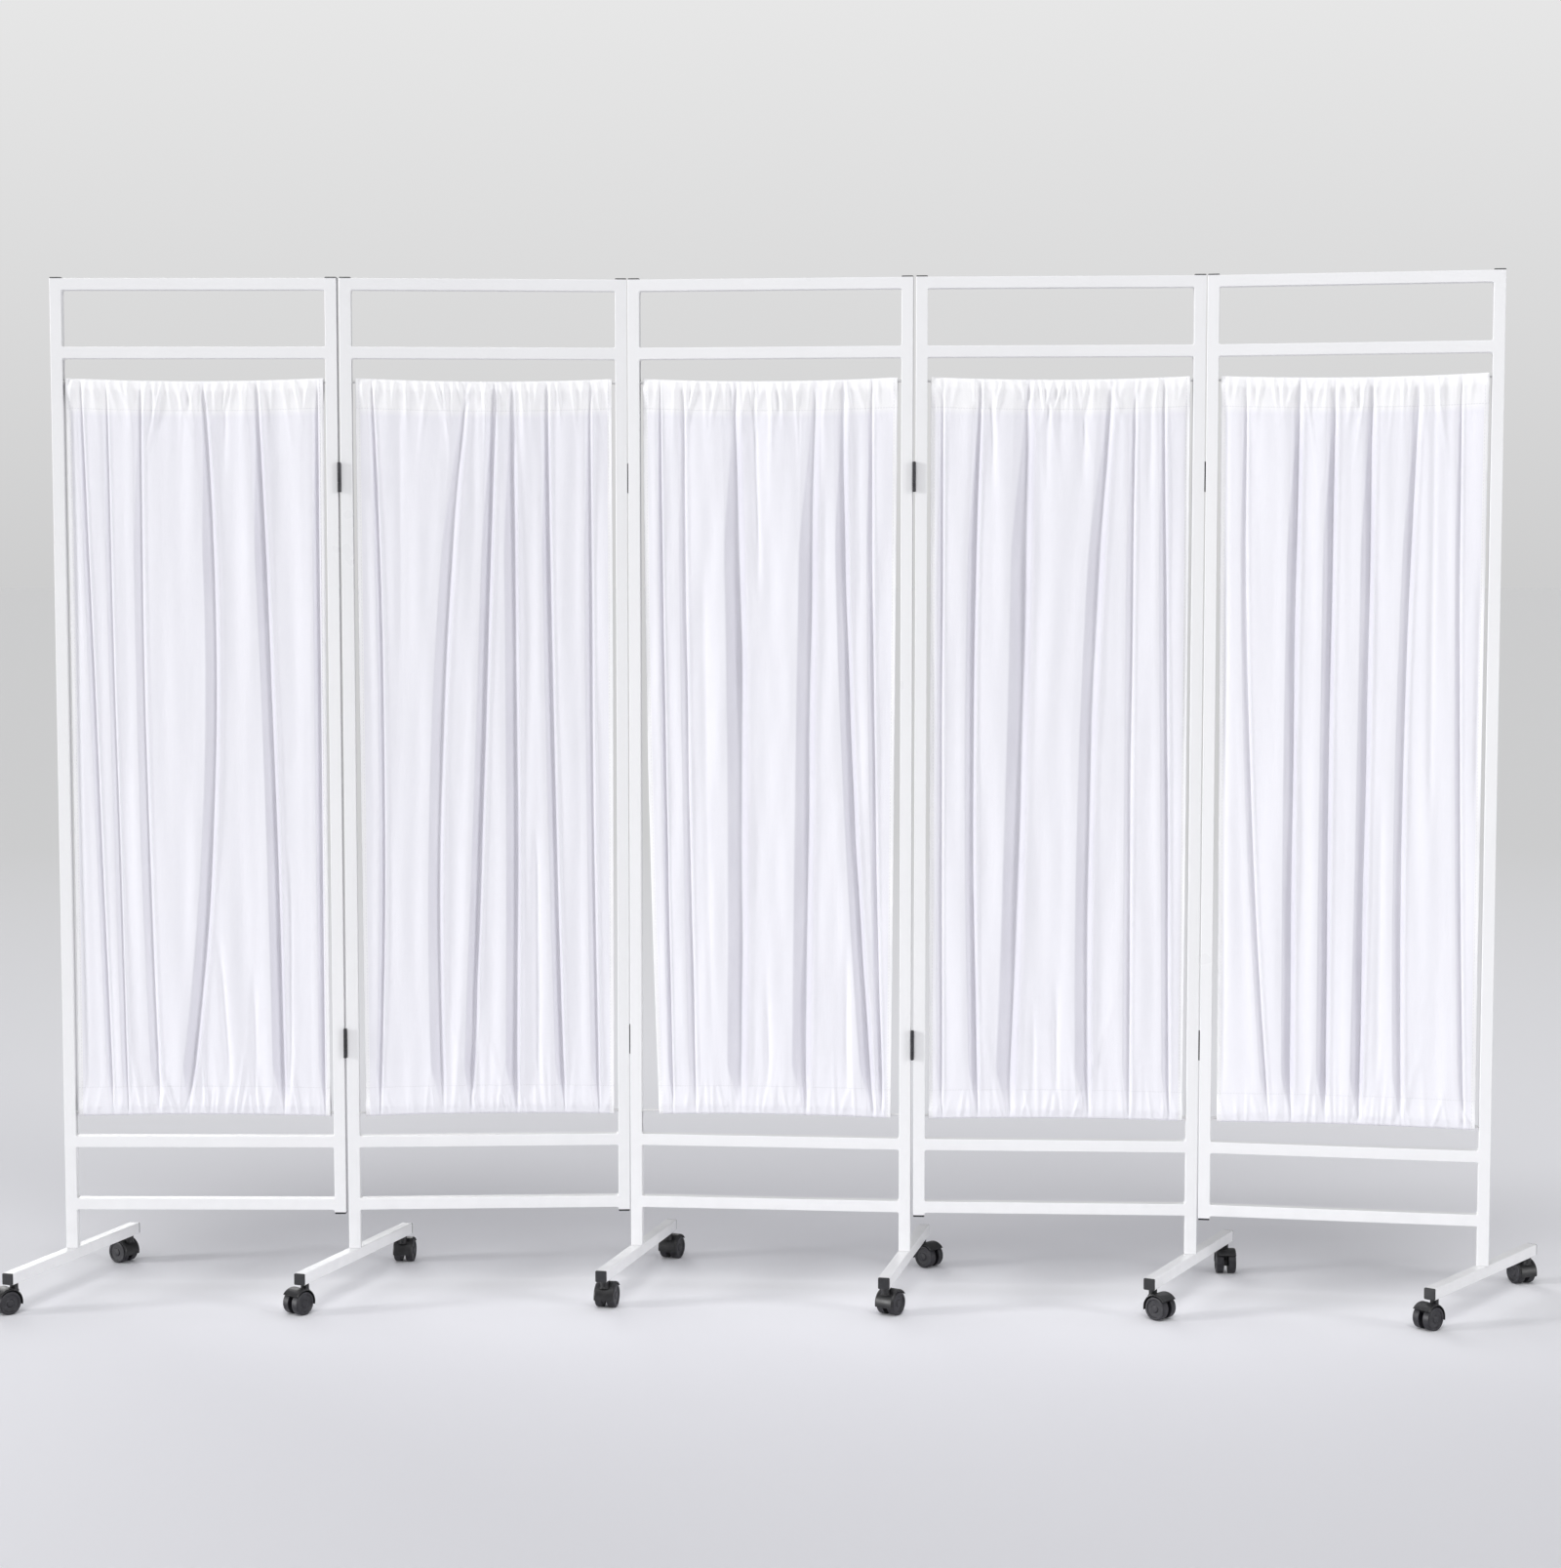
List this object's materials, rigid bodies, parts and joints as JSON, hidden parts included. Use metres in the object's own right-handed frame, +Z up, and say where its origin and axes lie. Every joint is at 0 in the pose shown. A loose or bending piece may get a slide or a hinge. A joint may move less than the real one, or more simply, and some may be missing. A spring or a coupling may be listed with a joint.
{
  "type": "folding privacy screen on casters",
  "caption": "Free-standing folding ward screen of hinged tube panels with gathered curtains, on swivelling feet with twin-wheel casters.",
  "frame": {"origin": "on the floor, below the middle of the whole screen's box", "axes": "+X along the middle panel, to the right seen from the front; +Y to the rear; +Z up"},
  "size_m": [2.6312, 0.5508, 1.75],
  "materials": {
    "white_paint": "white powder coat, satin",
    "curtain_cloth": "plain white polyester, close weave, matt",
    "wire_coating": "white plastic sleeve over a spring wire",
    "cap_plastic": "moulded dark grey caps and plugs, fine grain",
    "hinge_steel": "black finished steel, satin",
    "caster_plastic": "moulded black nylon, low gloss",
    "wheel_plastic": "charcoal moulded wheels, worn matt on the tread"
  },
  "bodies": {
    "panel_1": {"frame_1": "white_paint", "curtain_1": "curtain_cloth", "stub_plug_1_right": "cap_plastic", "hinge_1_upper_pin_leaf": "hinge_steel", "hinge_1_lower_pin_leaf": "hinge_steel"},
    "panel_2": {"frame_2": "white_paint", "curtain_2": "curtain_cloth", "stub_plug_2_right": "cap_plastic", "hinge_1_upper_eye_leaf": "hinge_steel", "hinge_1_lower_eye_leaf": "hinge_steel", "hinge_2_upper_eye_leaf": "hinge_steel", "hinge_2_lower_eye_leaf": "hinge_steel"},
    "panel_3": {"frame_3": "white_paint", "curtain_3": "curtain_cloth", "hinge_2_upper_pin_leaf": "hinge_steel", "hinge_2_lower_pin_leaf": "hinge_steel", "hinge_3_upper_pin_leaf": "hinge_steel", "hinge_3_lower_pin_leaf": "hinge_steel"},
    "panel_4": {"frame_4": "white_paint", "curtain_4": "curtain_cloth", "stub_plug_4_left": "cap_plastic", "hinge_3_upper_eye_leaf": "hinge_steel", "hinge_3_lower_eye_leaf": "hinge_steel", "hinge_4_upper_eye_leaf": "hinge_steel", "hinge_4_lower_eye_leaf": "hinge_steel"},
    "panel_5": {"frame_5": "white_paint", "curtain_5": "curtain_cloth", "stub_plug_5_left": "cap_plastic", "hinge_4_upper_pin_leaf": "hinge_steel", "hinge_4_lower_pin_leaf": "hinge_steel"},
    "swivel_foot_1": {"foot_1": "white_paint"},
    "caster_body_1_front": {"caster_1_front": "caster_plastic"},
    "wheel_set_1_front": {"wheels_1_front": "wheel_plastic"},
    "caster_body_1_rear": {"caster_1_rear": "caster_plastic"},
    "wheel_set_1_rear": {"wheels_1_rear": "wheel_plastic"},
    "swivel_foot_2": {"foot_2": "white_paint"},
    "caster_body_2_front": {"caster_2_front": "caster_plastic"},
    "wheel_set_2_front": {"wheels_2_front": "wheel_plastic"},
    "caster_body_2_rear": {"caster_2_rear": "caster_plastic"},
    "wheel_set_2_rear": {"wheels_2_rear": "wheel_plastic"},
    "swivel_foot_3": {"foot_3": "white_paint"},
    "caster_body_3_front": {"caster_3_front": "caster_plastic"},
    "wheel_set_3_front": {"wheels_3_front": "wheel_plastic"},
    "caster_body_3_rear": {"caster_3_rear": "caster_plastic"},
    "wheel_set_3_rear": {"wheels_3_rear": "wheel_plastic"},
    "swivel_foot_4": {"foot_4": "white_paint"},
    "caster_body_4_front": {"caster_4_front": "caster_plastic"},
    "wheel_set_4_front": {"wheels_4_front": "wheel_plastic"},
    "caster_body_4_rear": {"caster_4_rear": "caster_plastic"},
    "wheel_set_4_rear": {"wheels_4_rear": "wheel_plastic"},
    "swivel_foot_5": {"foot_5": "white_paint"},
    "caster_body_5_front": {"caster_5_front": "caster_plastic"},
    "wheel_set_5_front": {"wheels_5_front": "wheel_plastic"},
    "caster_body_5_rear": {"caster_5_rear": "caster_plastic"},
    "wheel_set_5_rear": {"wheels_5_rear": "wheel_plastic"},
    "swivel_foot_6": {"foot_6": "white_paint"},
    "caster_body_6_front": {"caster_6_front": "caster_plastic"},
    "wheel_set_6_front": {"wheels_6_front": "wheel_plastic"},
    "caster_body_6_rear": {"caster_6_rear": "caster_plastic"},
    "wheel_set_6_rear": {"wheels_6_rear": "wheel_plastic"}
  },
  "joints": [
    {"name": "seam_1", "type": "hinge", "parent": "panel_2", "child": "panel_1", "pos_m": [-0.75715, -0.02966, 0.9], "axis": [0, 0, 1], "range_deg": [-5.7, 123.3]},
    {"name": "seam_2", "type": "hinge", "parent": "panel_3", "child": "panel_2", "pos_m": [-0.27143, 0.06956, 0.9], "axis": [0, 0, -1], "range_deg": [-0.6, 128.4]},
    {"name": "seam_3", "type": "hinge", "parent": "panel_3", "child": "panel_4", "pos_m": [0.22357, 0.04236, 0.9], "axis": [0, 0, -1], "range_deg": [-6.3, 122.7]},
    {"name": "seam_4", "type": "hinge", "parent": "panel_4", "child": "panel_5", "pos_m": [0.71674, 0.09285, 0.9], "axis": [0, 0, 1], "range_deg": [-1.7, 127.3]},
    {"name": "foot_turn_1", "type": "hinge", "parent": "panel_1", "child": "swivel_foot_1", "pos_m": [-1.23895, -0.059, 0.1], "axis": [0, 0, 1], "range_deg": [-72, 108]},
    {"name": "caster_swivel_1_front", "type": "hinge", "parent": "swivel_foot_1", "child": "caster_body_1_front", "pos_m": [-1.2798, -0.23738, 0.05], "axis": [0, 0, 1], "continuous": true},
    {"name": "wheel_spin_1_front", "type": "hinge", "parent": "caster_body_1_front", "child": "wheel_set_1_front", "pos_m": [-1.29007, -0.24966, 0.02], "axis": [-0.7672, 0.6414, 0], "continuous": true},
    {"name": "caster_swivel_1_rear", "type": "hinge", "parent": "swivel_foot_1", "child": "caster_body_1_rear", "pos_m": [-1.19809, 0.11938, 0.05], "axis": [0, 0, 1], "continuous": true},
    {"name": "wheel_spin_1_rear", "type": "hinge", "parent": "caster_body_1_rear", "child": "wheel_set_1_rear", "pos_m": [-1.21236, 0.12662, 0.02], "axis": [0.4524, 0.8918, 0], "continuous": true},
    {"name": "foot_turn_2", "type": "hinge", "parent": "panel_2", "child": "swivel_foot_2", "pos_m": [-0.74677, -0.01438, 0.1], "axis": [0, 0, 1], "range_deg": [-68, 112]},
    {"name": "caster_swivel_2_front", "type": "hinge", "parent": "swivel_foot_2", "child": "caster_body_2_front", "pos_m": [-0.7898, -0.19224, 0.05], "axis": [0, 0, 1], "continuous": true},
    {"name": "wheel_spin_2_front", "type": "hinge", "parent": "caster_body_2_front", "child": "wheel_set_2_front", "pos_m": [-0.79795, -0.20602, 0.02], "axis": [-0.8607, 0.509, 0], "continuous": true},
    {"name": "caster_swivel_2_rear", "type": "hinge", "parent": "swivel_foot_2", "child": "caster_body_2_rear", "pos_m": [-0.70374, 0.16349, 0.05], "axis": [0, 0, 1], "continuous": true},
    {"name": "wheel_spin_2_rear", "type": "hinge", "parent": "caster_body_2_rear", "child": "wheel_set_2_rear", "pos_m": [-0.70385, 0.17949, 0.02], "axis": [1, 0.007, 0], "continuous": true},
    {"name": "foot_turn_3", "type": "hinge", "parent": "panel_3", "child": "swivel_foot_3", "pos_m": [-0.25893, 0.05596, 0.1], "axis": [0, 0, 1], "range_deg": [-80.5, 99.5]},
    {"name": "caster_swivel_3_front", "type": "hinge", "parent": "swivel_foot_3", "child": "caster_body_3_front", "pos_m": [-0.28914, -0.12453, 0.05], "axis": [0, 0, 1], "continuous": true},
    {"name": "wheel_spin_3_front", "type": "hinge", "parent": "caster_body_3_front", "child": "wheel_set_3_front", "pos_m": [-0.28705, -0.10866, 0.02], "axis": [0.9914, -0.1305, 0], "continuous": true},
    {"name": "caster_swivel_3_rear", "type": "hinge", "parent": "swivel_foot_3", "child": "caster_body_3_rear", "pos_m": [-0.22873, 0.23645, 0.05], "axis": [0, 0, 1], "continuous": true},
    {"name": "wheel_spin_3_rear", "type": "hinge", "parent": "caster_body_3_rear", "child": "wheel_set_3_rear", "pos_m": [-0.22392, 0.25171, 0.02], "axis": [0.9537, -0.3007, 0], "continuous": true},
    {"name": "foot_turn_4", "type": "hinge", "parent": "panel_3", "child": "swivel_foot_4", "pos_m": [0.21107, 0.05596, 0.1], "axis": [0, 0, 1], "range_deg": [-83, 97]},
    {"name": "caster_swivel_4_front", "type": "hinge", "parent": "swivel_foot_4", "child": "caster_body_4_front", "pos_m": [0.18876, -0.12567, 0.05], "axis": [0, 0, 1], "continuous": true},
    {"name": "wheel_spin_4_front", "type": "hinge", "parent": "caster_body_4_front", "child": "wheel_set_4_front", "pos_m": [0.19652, -0.11168, 0.02], "axis": [0.8746, -0.4848, 0], "continuous": true},
    {"name": "caster_swivel_4_rear", "type": "hinge", "parent": "swivel_foot_4", "child": "caster_body_4_rear", "pos_m": [0.23337, 0.2376, 0.05], "axis": [0, 0, 1], "continuous": true},
    {"name": "wheel_spin_4_rear", "type": "hinge", "parent": "caster_body_4_rear", "child": "wheel_set_4_rear", "pos_m": [0.24615, 0.22797, 0.02], "axis": [-0.6018, -0.7986, 0], "continuous": true},
    {"name": "foot_turn_5", "type": "hinge", "parent": "panel_4", "child": "swivel_foot_5", "pos_m": [0.70489, 0.07868, 0.1], "axis": [0, 0, 1], "range_deg": [-65, 115]},
    {"name": "caster_swivel_5_front", "type": "hinge", "parent": "swivel_foot_5", "child": "caster_body_5_front", "pos_m": [0.63545, -0.09064, 0.05], "axis": [0, 0, 1], "continuous": true},
    {"name": "wheel_spin_5_front", "type": "hinge", "parent": "caster_body_5_front", "child": "wheel_set_5_front", "pos_m": [0.64783, -0.10077, 0.02], "axis": [-0.6334, -0.7738, 0], "continuous": true},
    {"name": "caster_swivel_5_rear", "type": "hinge", "parent": "swivel_foot_5", "child": "caster_body_5_rear", "pos_m": [0.77433, 0.24799, 0.05], "axis": [0, 0, 1], "continuous": true},
    {"name": "wheel_spin_5_rear", "type": "hinge", "parent": "caster_body_5_rear", "child": "wheel_set_5_rear", "pos_m": [0.77536, 0.23202, 0.02], "axis": [-0.9979, -0.0645, 0], "continuous": true},
    {"name": "foot_turn_6", "type": "hinge", "parent": "panel_5", "child": "swivel_foot_6", "pos_m": [1.19659, 0.0406, 0.1], "axis": [0, 0, 1], "range_deg": [-61.5, 118.5]},
    {"name": "caster_swivel_6_front", "type": "hinge", "parent": "swivel_foot_6", "child": "caster_body_6_front", "pos_m": [1.09665, -0.1127, 0.05], "axis": [0, 0, 1], "continuous": true},
    {"name": "wheel_spin_6_front", "type": "hinge", "parent": "caster_body_6_front", "child": "wheel_set_6_front", "pos_m": [1.08512, -0.1238, 0.02], "axis": [-0.6934, 0.7206, 0], "continuous": true},
    {"name": "caster_swivel_6_rear", "type": "hinge", "parent": "swivel_foot_6", "child": "caster_body_6_rear", "pos_m": [1.29653, 0.1939, 0.05], "axis": [0, 0, 1], "continuous": true},
    {"name": "wheel_spin_6_rear", "type": "hinge", "parent": "caster_body_6_rear", "child": "wheel_set_6_rear", "pos_m": [1.28929, 0.20817, 0.02], "axis": [0.8918, 0.4524, 0], "continuous": true}
  ]
}
